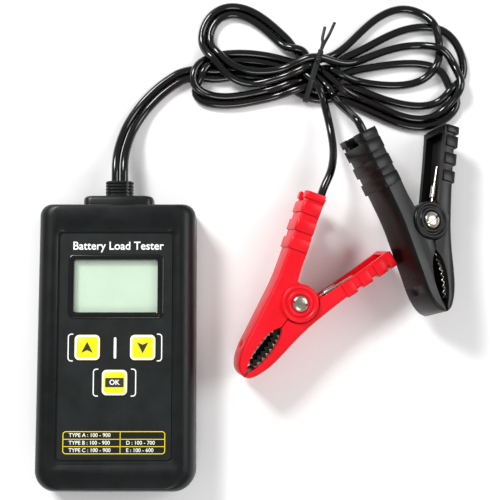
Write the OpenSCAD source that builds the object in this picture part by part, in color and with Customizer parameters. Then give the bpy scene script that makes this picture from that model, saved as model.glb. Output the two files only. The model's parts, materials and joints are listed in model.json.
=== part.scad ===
// Handheld vehicle battery tester with two clamp leads, lying on its back.
// Frame: origin at the middle of the back face, +Z out of the display, +Y towards the cable end.

/* [Case] */
// Length of the case
case_l = 125; // [110:1:150]
// Width of the case at the bottom end
case_w = 69; // [62:1:82]
// How much narrower the case is at the cable end
case_taper = 0.5; // [0:0.5:6]
// Thickness of the case
case_h = 24; // [21:0.5:30]
// Thickness of the case walls
wall = 2.2; // [1.6:0.1:3]
// Thickness of the front wall
front_wall = 3.2; // [2.6:0.1:4]
// Height of the parting line
parting_z = 12; // [10:0.5:14]
// Depth of the recess round the front panel
recess_d = 1.4; // [0.8:0.1:1.8]

/* [Front panel] */
// Width of the front panel
panel_w = 49; // [44:1:54]
// Length of the front panel
panel_l = 98; // [90:1:104]
// Thickness of the front panel
panel_t = 0.5; // [0.3:0.1:0.8]
// Width of the display that shows
glass_w = 36.3; // [28:0.1:38]
// Length of the display that shows
glass_l = 22.7; // [16:0.1:26]
// Width of the frame round the display
bezel_w = 2.6; // [1.5:0.1:2.8]
// Distance of the display above the middle of the case
glass_y = 25.8; // [24:0.1:29]
// Side of a key
key_side = 10.9; // [8:0.1:12]
// Height of a key above the front panel
key_proud = 0.7; // [0.4:0.1:1.4]
// Travel of a key
key_travel = 0.6; // [0.3:0.1:0.6]
// Distance of the up and down keys from the middle line
key_x = 12; // [10:0.5:14]
// Distance from the up and down keys to the enter key
key_drop = 15.1; // [14:0.1:18]

/* [Circuit board] */
// Width of the circuit board
board_w = 57; // [50:1:60]
// Length of the circuit board
board_l = 100; // [90:1:106]
// Thickness of the circuit board
board_t = 1.6; // [1:0.2:2]

/* [Cable outlet] */
// Width of the outer flange of the cable boot
flange_w = 31; // [24:1:40]
// Thickness of the outer flange of the cable boot
flange_t = 4.2; // [3:0.1:8]
// Width of the ribbed end of the cable boot
boot_w = 12.4; // [10:0.2:16]
// Length of the ribbed end of the cable boot
boot_l = 7; // [5:0.5:14]
// Diameter of one lead
lead_d = 3.65; // [3:0.05:4.2]

/* [Clamps] */
// Thickness of a clamp
clamp_t = 18; // [17:0.5:22]
// Thickness of the clamp walls
clamp_wall = 2.2; // [1.6:0.1:2.6]
// Radius of the round ear at the clamp pivot
ear_r = 8.5; // [8:0.1:9]
// Radius of the pivot pin
pin_r = 2.5; // [2:0.1:3]
// Play between the pivot pin and the moving half
pin_play = 0.05; // [0.02:0.01:0.1]
// Height of the boss round the pivot
boss_t = 1.5; // [0.8:0.1:2]
// Radius of the spring wire
wire_r = 0.7; // [0.5:0.05:0.8]
// Lean of the red clamp
red_lean = 12; // [0:1:16]
// Lean of the black clamp
black_lean = 24; // [14:1:26]

/* [Hidden] */
$fn = 48;
eps = 0.01;

case_color = "#1B1F20";
red = "#F02A45";
black = "#1D2122";
metal = "#C8BFA8";
copper = "#B8733A";

// Case
corner_top = 5;
corner_bottom = 9;
shoulder_r = 6.5;
back_edge_r = 2.5;
fit_gap = 0.15;
lip_t = 1.1;
lip_h = 1.4;
screw_inset_x = 6.4;
screw_inset_y = 8.2;
boss_r = 3.3;
boss_gap = 0.3;
screw_r = 1.4;
screw_hole_r = 1.6;
pilot_r = 1.45;
screw_head_r = 2.8;
screw_head_t = 1.8;
cross_w = 0.7;
cross_depth = 0.9;
board_head_r = 1.9;
board_head_t = 1.4;
board_screw_l = 6.5;
counterbore_r = 3.1;
counterbore_d = 2.6;
cavity_top = case_h - front_wall;
panel_z = case_h - recess_d;
panel_top = panel_z + panel_t;
recess_gap = 3;
recess_flare = 1.4;
recess_r = 3;
ledge_gap = 0.9;

// Keys: a cap, a flange that keeps it in and a stem over its switch
key_gap = 0.25;
key_flange = 1.2;
key_flange_t = 0.8;
key_float = 0.3;
key_corner = 2;
key_top = panel_top + key_proud;
flange_top = cavity_top - key_float;
stem_r = 1.6;
stem_gap = key_travel + 0.1;
switch_side = 6;
switch_h = 3.4;
plunger_r = 1.7;
key_y = -0.8;
keys = [[-key_x, key_y], [key_x, key_y], [0, key_y - key_drop]];

// Display
window_gap = 0.1;
window_t = 1;
window_step = 0.5;
frame_rise = 0.6;
module_w = glass_w + 5.4;
module_l = glass_l + 5;
module_t = 2.8;
module_gap = 0.2;
module_top = cavity_top - module_gap;

// Circuit board
board_z = parting_z;
board_top = board_z + board_t;
board_screw_x = board_w / 2 - 3.2;
board_screw_y = board_l / 2 - 4;
post_r = 2.6;
board_screw_r = 1;
board_hole_r = 1.2;
zebra_w = 2;
zebra_l = glass_w - 2;
zebra_y = glass_l / 2 - 0.5;
chip_side = 10;
chip_h = 1.5;
chip_at = [-5, -32];
chip_pins = 8;
chip_pitch = 1.15;
pin_w = 0.4;
pin_l = 1.2;
resistor = [7, 20, 7];
resistor_at = [-22, -44];
resistor_pitch = 9;
transistor = [10, 15, 4.6];
transistor_at = [6, 30];
tab = [10, 1.2, 1.3];
capacitor_r = 3.2;
capacitor_h = 8;
capacitor_y = 36;
capacitor_xs = [-18, -8];

// Cable boot
flange_h = 13;
neck_w = 20.4;
neck_h = 8.4;
inner_flange_w = 26;
inner_flange_t = 2.4;
boot_h = 8.6;
boot_ribs = 4;
rib_gap = 0.55;
rib_depth = 0.7;
boot_z = case_h / 2;
boot_y = case_l / 2 + flange_t;
boot_end = boot_y + boot_l;
lead_x = lead_d / 2 + 0.1;

// Clamp: pivot at the origin, handles towards +Y, jaws towards -Y, thickness along Z
clamp_half = clamp_t / 2;
clamp_inner = clamp_half - clamp_wall;
ear_gap = 0.3;
free_ear_out = clamp_inner - ear_gap;
free_ear_in = free_ear_out - clamp_wall;
clear_r = ear_r + 0.4;
ring_r = ear_r - 2.4;
ring_w = 0.7;
ring_depth = 0.4;
head_r = 3.5;
head_t = 1.2;
slot_w = 0.9;
slot_depth = 0.55;
seam = 0.2;
grip_steps = 3;
rib_pitch = 8.2;
rib_l = 5;
handle_turn = 18.6;
channel_low = -36;
notch_y = 36.5;
notch_h = 8;
step_rise = 0.5;
plate_t = 0.8;
plate_w = 1.2;
plate_back = 0.15;
plate_low = -31;
plate_out = clamp_inner - 0.5;
tooth_deep = 1.1;
coil_r = 4.2;
coil_turns = 6;
lead_leg = [[-3.9, 1], [-16.6, 28]];
free_leg = [[6, 6], [14.6, 27]];
crimp_r = 2.45;
crimp_l = 8.6;
crimp_at = [-11, 17];
coil_pitch = 1.9 * wire_r;
leg_z = (coil_turns - 1) / 2 * coil_pitch;

// Outline of each clamp half, with its back towards +X: the back from the jaw tip to the handle's end,
// the end, and the inside of the handle down to the pivot
lead_back = [
    [0.4, -40], [3.2, -38.8], [6, -35], [8.1, -29], [9.4, -22], [11, -14], [12.5, -6],
    [14.2, 2], [16.6, 10], [19.4, 18.5], [22.4, 27], [25, 34.6], [26.4, 39.2]
];
lead_end = [[26.3, 40.8], [25, 41.8], [19.8, 43.4], [18.4, 42.4]];
lead_inside = [[17.6, 38.4], [16, 33.5], [13.9, 27], [11.2, 20], [9, 13], [6.6, 7]];
free_back = [
    [0.4, -40], [2.8, -38.8], [5, -35], [6.9, -29], [7.9, -22], [8.7, -14], [9.9, -6],
    [11.5, 1], [13.4, 8.5], [15.9, 17.5], [18.6, 27], [21.2, 35], [22.5, 39.6]
];
free_end = [[22.4, 41], [21.4, 41.9], [18.2, 42.9], [17, 42]];
free_inside = [[16.4, 39.6], [14.6, 33.6], [12.6, 27], [10.2, 19.6], [8, 12.6], [6, 7]];
ear_web = [[6, -9], [8.6, -11], [9.6, -6], [11.1, 1], [12.5, 6], [7.5, 9.4]];
mouth_line = [[seam, -13], [2, -16], [3.1, -20], [3.4, -25], [3, -30], [1.8, -35], [seam, -38.6]];

// Where the clamps lie: the middle of the pivot, and the direction of the handles
red_heading = -37.4;
black_heading = 9.6;
grip_reach = 22.8;
red_pivot = [78.6, 19.4, pivot_height(red_lean)];
black_pivot = [133.3, 53.6, pivot_height(black_lean)];

// Leads: the stretch to the hank, the hank's outline, and the stretches to the clamps
near_route = [
    [0, 73.7, 12], [0, 78, 12], [0, 83.4, 11], [0.8, 90.4, 8.4], [3.6, 100, 4.6], [9, 109.4, 2.4],
    [15.6, 116.8, 2], [22.6, 122.4, 2], [28.6, 125.6, 2.2]
];
red_far_route = [
    [90.8, 115.8, 8.6], [92.6, 109.5, 7.2], [94.2, 103, 6.6], [95.4, 96, 8], [95.9, 89, 11.4],
    [95.4, 82.4, 15.4], [94, 76.6, 18.2], [91.4, 70.7, 19.1], [89.7, 66, 18.8], [87.8, 60.4, 18.4],
    [85.4, 53.7, 17.9], [83.1, 47.2, 17.5], [81.6, 43, 17.2]
];
black_far_route = [
    [94.9, 116.8, 8.6], [96.8, 113, 10.2], [98.9, 109.2, 13.6], [101.2, 105.4, 18.6],
    [103.4, 101.8, 23.6], [105.8, 98.1, 27.3], [108.1, 93.8, 26.6], [110.7, 88.4, 25.9],
    [113.8, 82.2, 25], [116.9, 76, 24.1], [118.9, 72.1, 23.5]
];
hank_h = 11.2;
hank_z = 0.7;
tie_w = 2.4;
tie_t = 0.6;
tie_turn = 18;
waist_x = 89.5;
waist_w = 16;
waist_y = 124.5;
hank_left = [[52, 146, 13], [42, 126, 12], [72, 141, 9], [waist_x, waist_y, waist_w / 4]];
hank_right = [[138, 148, 10], [147, 130, 11], [138, 113, 10], [waist_x, waist_y, waist_w / 4]];

function unit(v) = v / norm(v);

// Height at which a leaning clamp's lower handle just clears the bench
function pivot_height(lean) = grip_reach * sin(lean) + (clamp_half + step_rise) * cos(lean) + 0.6;

// A corner of an outline, rounded by an arc
function corner(a, p, b, r, n = 6) =
    let (u = unit(a - p), v = unit(b - p), half = acos(u * v) / 2)
    let (c = p + unit(u + v) * r / sin(half), s = p + u * r / tan(half) - c, e = p + v * r / tan(half) - c)
    let (a0 = atan2(s.y, s.x), sweep = ((atan2(e.y, e.x) - a0 + 540) % 360) - 180)
    [for (i = [0:n]) c + r * [cos(a0 + sweep * i / n), sin(a0 + sweep * i / n)]];

function rounded(points, radii) =
    [for (i = [0:len(points) - 1])
        for (q = corner(points[(i + len(points) - 1) % len(points)], points[i],
            points[(i + 1) % len(points)], radii[i])) q];

function box_outline(w, l, r) =
    rounded([[-w / 2, -l / 2], [w / 2, -l / 2], [w / 2, l / 2], [-w / 2, l / 2]], [r, r, r, r]);

// An outline that is low wide on each side at its lower end, and top wide at its upper end
function tapered(low, top, half_l, low_r, top_r) =
    rounded([[-low, -half_l], [low, -half_l], [top, half_l], [-top, half_l]], [low_r, low_r, top_r, top_r]);

// A smooth line through a list of points
function spline_at(p, i, t) =
    let (a = p[max(i - 1, 0)], b = p[i], c = p[i + 1], d = p[min(i + 2, len(p) - 1)])
    0.5 * (2 * b + (c - a) * t + (2 * a - 5 * b + 4 * c - d) * t * t + (3 * b - a - 3 * c + d) * t * t * t);

function smooth(p, n) =
    concat([for (i = [0:len(p) - 2]) for (k = [0:n - 1]) spline_at(p, i, k / n)], [p[len(p) - 1]]);

function reversed(p) = [for (i = [len(p) - 1:-1:0]) p[i]];

module bar(w, l, z0, z1, r = 1, at = [0, 0]) {
    translate([at.x, at.y, z0]) linear_extrude(z1 - z0) polygon(box_outline(w, l, r));
}

// The space between z0 and z1 of the case's outside, moved in by inset
module case_block(z0, z1, inset = 0) {
    top = case_w / 2 - case_taper / 2 - inset;
    low = case_w / 2 - inset;
    end = case_l / 2 - inset;
    intersection() {
        translate([0, 0, z0]) linear_extrude(z1 - z0)
            polygon(tapered(low, top, end, corner_bottom - inset, corner_top - inset));
        translate([0, case_l / 2, case_h / 2]) rotate([90, 0, 0]) linear_extrude(case_l)
            polygon(tapered(low, low, case_h / 2 - inset * 0.4, back_edge_r, shoulder_r));
    }
}

module case_bosses(z0, z1, r) {
    for (sx = [-1, 1], sy = [-1, 1])
        translate([sx * (case_w / 2 - screw_inset_x), sy * (case_l / 2 - screw_inset_y), z0])
            cylinder(r = r, h = z1 - z0);
}

module board_posts(z0, z1, r) {
    for (sx = [-1, 1], sy = [-1, 1])
        translate([sx * board_screw_x, sy * board_screw_y, z0]) cylinder(r = r, h = z1 - z0);
}

module neck_slot(gap = 0) {
    translate([0, case_l / 2 - wall / 2, boot_z]) rotate([90, 0, 0])
        linear_extrude(wall + 4, center = true) polygon(box_outline(neck_w + gap, neck_h + gap, 3));
}

module rear_shell() {
    color(case_color) difference() {
        union() {
            difference() {
                case_block(0, parting_z);
                case_block(wall, parting_z + 1, wall);
            }
            difference() {
                case_block(parting_z - 2, parting_z + lip_h, wall + fit_gap);
                case_block(parting_z - 3, parting_z + lip_h + 1, wall + fit_gap + lip_t);
            }
            intersection() {
                case_block(0.5, parting_z, 1);
                case_bosses(wall - 0.5, parting_z, boss_r + 1);
            }
        }
        case_bosses(-1, parting_z + 3, screw_hole_r);
        case_bosses(-1, counterbore_d, counterbore_r);
        neck_slot(0.2);
        // Room for the boot's inner flange
        translate([0, case_l / 2 - wall - inner_flange_t / 2 - 0.5, parting_z + 1])
            cube([inner_flange_w + 0.8, inner_flange_t + 1, 2 * lip_h + 4], center = true);
    }
}

module key_holes() {
    side = key_side + 2 * key_gap;
    for (k = keys) bar(side, side, cavity_top - 1, case_h, key_corner, k);
}

module front_shell() {
    color(case_color) difference() {
        union() {
            difference() {
                case_block(parting_z, case_h);
                case_block(parting_z - 1, cavity_top, wall);
            }
            intersection() {
                case_block(parting_z, case_h - 1, 1);
                case_bosses(parting_z + lip_h + boss_gap, cavity_top + 0.5, boss_r);
            }
            board_posts(board_top, cavity_top + 0.5, post_r);
        }
        // Two steps down to the panel
        translate([0, -0.6, case_h - recess_d / 2]) linear_extrude(recess_d)
            polygon(tapered(panel_w / 2 + recess_gap + recess_flare, panel_w / 2 + recess_gap,
                panel_l / 2 + recess_gap, recess_r, recess_r));
        bar(panel_w + 2 * ledge_gap, panel_l + 2 * ledge_gap, panel_z, case_h + 1, 2.4);
        bar(glass_w + 2 * window_step, glass_l + 2 * window_step, cavity_top - 1, case_h, 0.8, [0, glass_y]);
        key_holes();
        case_bosses(parting_z - 1, cavity_top - 1.5, pilot_r);
        board_posts(board_z, cavity_top - 1.5, board_screw_r + 0.05);
        neck_slot(0.2);
    }
}

module front_overlay() {
    color("#22282B") difference() {
        bar(panel_w, panel_l, panel_z, panel_top, 1.8);
        bar(glass_w, glass_l, panel_z - 1, case_h, 0.5, [0, glass_y]);
        key_holes();
    }
}

module lcd_frame() {
    color("#101314") difference() {
        bar(glass_w + 2 * bezel_w, glass_l + 2 * bezel_w, panel_top, panel_top + frame_rise, 1.2,
            [0, glass_y]);
        bar(glass_w, glass_l, panel_z, case_h + 1, 0.5, [0, glass_y]);
    }
}

module lcd_window() {
    side = 2 * (window_step - window_gap);
    color("#DCE8DC", 0.4) bar(glass_w + side, glass_l + side, panel_z - window_t, panel_z, 0.7, [0, glass_y]);
}

module lcd_module() {
    color("#D3E4D2") bar(module_w, module_l, module_top - module_t, module_top, 0.6, [0, glass_y]);
}

module zebra_strips() {
    color("#C88C8C") for (s = [-1, 1])
        translate([-zebra_l / 2, glass_y + s * zebra_y - zebra_w / 2, board_top])
            cube([zebra_l, zebra_w, module_top - module_t - board_top]);
}

module circuit_board() {
    color("#1E5C3A") difference() {
        bar(board_w, board_l, board_z, board_top, 1.5);
        board_posts(board_z - 1, board_top + 1, board_hole_r);
    }
}

module tact_switches() {
    color("#2A2A2A") for (k = keys) translate([k.x, k.y, board_top]) {
        translate([-switch_side / 2, -switch_side / 2, 0]) cube([switch_side, switch_side, switch_h]);
        cylinder(r = plunger_r, h = flange_top - key_flange_t - stem_gap - board_top - 0.6);
    }
}

module controller_chip() {
    first = (chip_side - (chip_pins - 1) * chip_pitch - pin_w) / 2;
    color("#161616") translate([chip_at.x, chip_at.y, board_top]) {
        cube([chip_side, chip_side, chip_h]);
        for (i = [0:chip_pins - 1], y = [0.2 - pin_l, chip_side - 0.2])
            translate([first + i * chip_pitch, y, 0]) cube([pin_w, pin_l, chip_h / 2]);
    }
}

module load_resistors() {
    color("#E4E0D4") for (i = [0, 1])
        translate([resistor_at.x + i * resistor_pitch, resistor_at.y, board_z - resistor.z]) cube(resistor);
}

module load_transistor() {
    color("#202020") translate([transistor_at.x, transistor_at.y, board_z - transistor.z]) {
        cube(transistor);
        translate([0, transistor.y, transistor.z - tab.z]) cube(tab);
    }
}

module capacitors() {
    color("#2B3A66") for (x = capacitor_xs)
        translate([x, capacitor_y, board_z - capacitor_h]) cylinder(r = capacitor_r, h = capacitor_h);
}

module screw(at, z, r, h, head, head_h) {
    translate([at.x, at.y, z]) difference() {
        union() {
            cylinder(r = head, h = head_h);
            cylinder(r = r, h = head_h + h);
        }
        for (a = [0, 90]) rotate([0, 0, a]) cube([head * 1.2, cross_w, 2 * cross_depth], center = true);
    }
}

module board_screws() {
    color(metal) for (sx = [-1, 1], sy = [-1, 1])
        screw([sx * board_screw_x, sy * board_screw_y], board_z - board_head_t, board_screw_r, board_screw_l,
            board_head_r, board_head_t);
}

module case_screws() {
    color(metal) for (sx = [-1, 1], sy = [-1, 1])
        screw([sx * (case_w / 2 - screw_inset_x), sy * (case_l / 2 - screw_inset_y)],
            counterbore_d - screw_head_t, screw_r, parting_z + 5 - counterbore_d, screw_head_r, screw_head_t);
}

// A rounded block whose face points along Y, from y0 to y1
module boot_block(w, h, y0, y1, r) {
    translate([0, y1, boot_z]) rotate([90, 0, 0]) linear_extrude(y1 - y0) polygon(box_outline(w, h, r));
}

module cable_boot() {
    inside = case_l / 2 - wall;
    color(black) difference() {
        union() {
            boot_block(flange_w, flange_h, case_l / 2 + 0.05, boot_y, 3.6);
            boot_block(neck_w, neck_h, inside - 1, case_l / 2 + 1, 2.9);
            boot_block(inner_flange_w, neck_h + 3, inside - 0.1 - inner_flange_t, inside - 0.1, 2.4);
            boot_block(boot_w, boot_h, boot_y - 1, boot_end, 3.8);
        }
        // Grooves between the ribs
        for (i = [0:boot_ribs - 1]) translate([0, boot_y + 1.1 + i * (boot_l - 1.2) / boot_ribs, boot_z])
            rotate([-90, 0, 0]) linear_extrude(rib_gap) difference() {
                square([boot_w + 2, boot_h + 2], center = true);
                polygon(box_outline(boot_w - 2 * rib_depth, boot_h - 2 * rib_depth, 3));
            }
    }
}

module board_wires() {
    inside = case_l / 2 - wall - 0.1 - inner_flange_t;
    color(copper) for (s = [-1, 1]) {
        translate([s * lead_x, inside - 9.4, boot_z + 3.5]) rotate([-90, 0, 0]) cylinder(r = 1.5, h = 9.4);
        translate([s * lead_x, inside - 8, board_top]) cylinder(r = 1.1, h = boot_z + 3.5 - board_top);
    }
}

module key_cap(at) {
    bar(key_side, key_side, flange_top - eps, key_top, key_corner, at);
    bar(key_side + 2 * key_flange, key_side + 2 * key_flange, flange_top - key_flange_t, flange_top, 1, at);
    translate([at.x, at.y, flange_top - key_flange_t - 0.6]) cylinder(r = stem_r, h = 0.8);
}

module up_key() { color("#FFF200") key_cap(keys[0]); }
module down_key() { color("#FFF200") key_cap(keys[1]); }
module enter_key() { color("#FFF200") key_cap(keys[2]); }

// A round tube swept along a route
function ring_at(p, d, r, sides) =
    let (side = unit(cross(d, [0, 0, 1])), up = cross(side, d))
    [for (k = [0:sides - 1]) p + r * (cos(360 * k / sides) * side + sin(360 * k / sides) * up)];

function along(route, i) = unit(route[min(i + 1, len(route) - 1)] - route[max(i - 1, 0)]);

module tube(route, r, sides = 8) {
    n = len(route);
    rings = [for (i = [0:n - 1]) ring_at(route[i], along(route, i), r, sides)];
    polyhedron(
        points = [for (a = rings) for (q = a) q],
        faces = concat(
            [[for (k = [0:sides - 1]) k]],
            [for (i = [0:n - 2]) for (k = [0:sides - 1]) let (m = (k + 1) % sides)
                [i * sides + k, (i + 1) * sides + k, (i + 1) * sides + m, i * sides + m]],
            [[for (k = [sides - 1:-1:0]) (n - 1) * sides + k]]
        ));
}

// The two leads lie side by side along one route, which starts at the boot
module near_lead(side) {
    start = [0, boot_end, boot_z] - near_route[0];
    route = [for (i = [0:len(near_route) - 1])
        start + near_route[i] + side * lead_x * unit(cross(along(near_route, i), [0, 0, 1]))];
    color("#15181A") tube(route, lead_d / 2);
}

module red_lead_near() { near_lead(1); }
module black_lead_near() { near_lead(-1); }
module red_lead_far() { color("#15181A") tube(red_far_route, lead_d / 2); }
module black_lead_far() { color("#15181A") tube(black_far_route, lead_d / 2); }

module lead_hank() {
    color("#15181A") translate([0, 0, hank_z]) linear_extrude(hank_h) {
        translate([waist_x, waist_y]) circle(r = waist_w / 2);
        for (side = [hank_left, hank_right])
            hull() for (c = side) translate([c.x, c.y]) circle(r = c[2]);
    }
}

// A flat band wound across the waist of the hank, with its twisted ends on top
module twist_tie() {
    low = hank_z - tie_t;
    top = hank_z + hank_h + 0.1;
    half = waist_w / 2 + 1.4;
    color("#0C0E0F") translate([waist_x - 2, waist_y, 0]) rotate([0, 0, -tie_turn]) {
        translate([-tie_w / 2, 0, 0]) rotate([90, 0, 90]) linear_extrude(tie_w) difference() {
            translate([-half - tie_t, low]) square([2 * (half + tie_t), top - low + tie_t]);
            translate([-half, low + tie_t - 0.05]) square([2 * half, top - low - tie_t + 0.05]);
        }
        translate([0, 6, top + tie_t + 1]) rotate([90, 0, 0]) cylinder(r = 1.4, h = 6, center = true);
    }
}

module place(pivot, heading, lean) {
    translate(pivot) rotate([0, 0, heading]) rotate([0, lean, 0]) children();
}

// A half's outline on the +X side
function half_outline(back, end, inside) =
    concat(smooth(back, 3), end, smooth(inside, 3), [[seam, 7], [seam, -13]], smooth(mouth_line, 3));

// The space inside a half: its back moved in by the wall, open towards the other half
function half_channel(back, end) = concat(
    [for (q = smooth(back, 3)) if (q.y > channel_low) q - [clamp_wall, 0]],
    [end[1] - [clamp_wall * 0.8, clamp_wall * 1.1], [14, end[1].y - clamp_wall], [-2, 30], [-2, -39]]);

module grip_shell(back, end, inside) {
    difference() {
        translate([0, 0, -clamp_half]) linear_extrude(clamp_t) polygon(half_outline(back, end, inside));
        translate([0, 0, -clamp_inner]) linear_extrude(2 * clamp_inner) polygon(half_channel(back, end));
    }
}

// Raised bands across the faces and the back of a handle
module grip_ribs(first, width) {
    for (i = [0:grip_steps - 1])
        translate([first.x + i * rib_pitch * sin(handle_turn), first.y + i * rib_pitch * cos(handle_turn), 0])
            rotate([0, 0, -handle_turn]) difference() {
                translate([-width, -rib_l / 2, -clamp_half - step_rise])
                    cube([width + step_rise, rib_l, clamp_t + 2 * step_rise]);
                translate([-width - 1, -rib_l, -clamp_half + 0.1])
                    cube([width + 0.6, 2 * rib_l, clamp_t - 0.2]);
            }
}

module lead_half() {
    difference() {
        union() {
            mirror([1, 0, 0]) {
                grip_shell(lead_back, lead_end, lead_inside);
                grip_ribs([19.5, 18.8], 8);
            }
            for (s = [-1, 1]) {
                translate([0, 0, s * (clamp_inner + clamp_wall / 2)])
                    cylinder(r = ear_r, h = clamp_wall, center = true);
                translate([0, 0, s * (clamp_half + boss_t / 2 - 0.1)])
                    cylinder(r = ear_r - 0.6, h = boss_t + 0.2, center = true);
            }
        }
        translate([0, 0, -clamp_half - 3]) cylinder(r = pin_r, h = clamp_t + 6);
        // Ring groove round each boss
        for (s = [-1, 1]) translate([0, 0, s * (clamp_half + boss_t)]) difference() {
            cylinder(r = ring_r, h = ring_depth * 2, center = true);
            cylinder(r = ring_r - ring_w, h = 2, center = true);
        }
        // Room for the moving half's ears
        translate([0, 0, -clamp_inner]) cylinder(r = clear_r, h = 2 * clamp_inner);
        // Notch for the lead in the end and the back
        translate([-30, notch_y, -notch_h / 2]) cube([12.8, 10, notch_h]);
    }
}

module free_half() {
    difference() {
        union() {
            difference() {
                union() {
                    grip_shell(free_back, free_end, free_inside);
                    grip_ribs([16, 18], 5.4);
                }
                translate([0, 0, -clamp_half - 3]) cylinder(r = clear_r, h = clamp_t + 6);
            }
            for (s = [-1, 1]) {
                translate([0, 0, s * (free_ear_in + clamp_wall / 2)]) {
                    cylinder(r = ear_r, h = clamp_wall, center = true);
                    linear_extrude(clamp_wall, center = true) polygon(concat(ear_web, [[3, 7.6], [3, -7.6]]));
                }
                // Joins each ear to the wider part of the half
                translate([0, 0, s * (free_ear_out + ear_gap / 2)])
                    linear_extrude(ear_gap + 0.4, center = true) difference() {
                        polygon(ear_web);
                        circle(r = clear_r);
                    }
            }
        }
        translate([0, 0, -clamp_half]) cylinder(r = pin_r + pin_play, h = clamp_t);
        translate([0, 0, -free_ear_in]) cylinder(r = clear_r, h = 2 * free_ear_in);
    }
}

// The toothed edge of a jaw plate: the mouth line with a tooth at every step
function toothed(p) = [for (i = [0:len(p) - 1]) p[i] - [i % 2 == 1 && p[i].x > 1.8 ? tooth_deep : 0, 0]];

module jaw_plate() {
    inner = [for (q = smooth(mouth_line, 4)) if (q.y > plate_low) q + [plate_back, 0]];
    outer = [for (q = inner) q + [plate_w, 0]];
    for (s = [-1, 1]) translate([0, 0, s * (plate_out - plate_t / 2)]) linear_extrude(plate_t, center = true)
        polygon(concat(toothed(inner), reversed(outer)));
    translate([0, 0, -plate_out + 0.1]) linear_extrude(2 * plate_out - 0.2)
        polygon(concat([for (q = outer) q - [plate_t, 0]], reversed(outer)));
}

module lead_jaw() { mirror([1, 0, 0]) jaw_plate(); }
module free_jaw() { jaw_plate(); }

module pivot_pin() {
    difference() {
        union() {
            cylinder(r = pin_r - eps, h = clamp_t + 2 * (boss_t + head_t), center = true);
            for (s = [-1, 1]) translate([0, 0, s * (clamp_half + boss_t + head_t / 2)])
                cylinder(r = head_r, h = head_t, center = true);
        }
        translate([0, 0, clamp_half + boss_t + head_t])
            cube([2 * head_r + 1, slot_w, 2 * slot_depth], center = true);
    }
}

module leg(ends, z) {
    span = ends[1] - ends[0];
    translate([ends[0].x, ends[0].y, z]) rotate([0, 0, atan2(span.y, span.x)])
        rotate([0, 90, 0]) cylinder(r = wire_r, h = norm(span), $fn = 16);
}

module spring() {
    for (i = [0:coil_turns - 1]) translate([0, 0, i * coil_pitch - leg_z])
        rotate_extrude() translate([coil_r, 0]) circle(r = wire_r, $fn = 14);
    leg(lead_leg, -leg_z);
}

module spring_leg() { leg(free_leg, leg_z); }

module crimp() {
    translate([crimp_at.x, crimp_at.y, 0]) rotate([-90, 0, handle_turn]) difference() {
        cylinder(r = crimp_r, h = crimp_l);
        translate([0, 0, 1]) cylinder(r = lead_d / 2 + 0.25, h = crimp_l);
    }
}

module place_red() { place(red_pivot, red_heading, red_lean) children(); }
module place_black() { place(black_pivot, black_heading, black_lean) children(); }

rear_shell();
front_shell();
front_overlay();
lcd_frame();
lcd_window();
lcd_module();
zebra_strips();
circuit_board();
tact_switches();
controller_chip();
load_resistors();
load_transistor();
capacitors();
board_screws();
case_screws();
cable_boot();
board_wires();
up_key();
down_key();
enter_key();
red_lead_near();
black_lead_near();
lead_hank();
twist_tie();
red_lead_far();
black_lead_far();
place_red() color(red) lead_half();  // red_lead_grip
place_red() color(red) free_half();  // red_free_grip
place_red() color(metal) lead_jaw();  // red_lead_jaw
place_red() color(metal) free_jaw();  // red_free_jaw
place_red() color(metal) pivot_pin();  // red_pivot_pin
place_red() color(metal) spring();  // red_spring
place_red() color(metal) spring_leg();  // red_spring_leg
place_red() color(metal) crimp();  // red_crimp
place_black() color(black) lead_half();  // black_lead_grip
place_black() color(black) free_half();  // black_free_grip
place_black() color(metal) lead_jaw();  // black_lead_jaw
place_black() color(metal) free_jaw();  // black_free_jaw
place_black() color(metal) pivot_pin();  // black_pivot_pin
place_black() color(metal) spring();  // black_spring
place_black() color(metal) spring_leg();  // black_spring_leg
place_black() color(metal) crimp();  // black_crimp
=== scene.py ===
"""Handheld battery tester with two clamp leads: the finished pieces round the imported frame.

Pieces are modelled in millimetres and brought to metres when they are kept.
"""
import json
import math

import bmesh
import bpy
import numpy as np
from mathutils import Matrix, Vector


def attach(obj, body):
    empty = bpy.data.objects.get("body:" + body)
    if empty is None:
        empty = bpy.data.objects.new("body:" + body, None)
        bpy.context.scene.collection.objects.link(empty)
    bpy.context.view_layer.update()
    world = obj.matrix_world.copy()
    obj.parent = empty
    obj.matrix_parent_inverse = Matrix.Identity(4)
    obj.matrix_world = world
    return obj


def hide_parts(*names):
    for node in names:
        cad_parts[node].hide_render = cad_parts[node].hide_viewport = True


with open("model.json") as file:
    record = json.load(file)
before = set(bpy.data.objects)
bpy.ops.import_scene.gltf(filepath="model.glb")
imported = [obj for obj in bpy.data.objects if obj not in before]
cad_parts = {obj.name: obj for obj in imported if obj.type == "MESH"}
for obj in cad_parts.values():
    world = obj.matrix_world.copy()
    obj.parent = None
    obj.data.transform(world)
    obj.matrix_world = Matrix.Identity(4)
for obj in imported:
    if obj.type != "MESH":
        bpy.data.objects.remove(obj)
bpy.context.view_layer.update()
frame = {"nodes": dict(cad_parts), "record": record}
MM = 0.001
STILL = Matrix.Identity(4)


# ---------------------------------------------------------------- modelling tools

def activate(piece):
    if bpy.context.object and bpy.context.object.mode != "OBJECT":
        bpy.ops.object.mode_set(mode="OBJECT")
    bpy.ops.object.select_all(action="DESELECT")
    piece.select_set(True)
    bpy.context.view_layer.objects.active = piece


class editing:
    """Edit mode on one piece, with nothing selected to start with."""

    def __init__(self, piece):
        self.piece = piece

    def __enter__(self):
        activate(self.piece)
        bpy.ops.object.mode_set(mode="EDIT")
        bpy.ops.mesh.select_all(action="DESELECT")

    def __exit__(self, *problem):
        bpy.ops.object.mode_set(mode="OBJECT")


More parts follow.
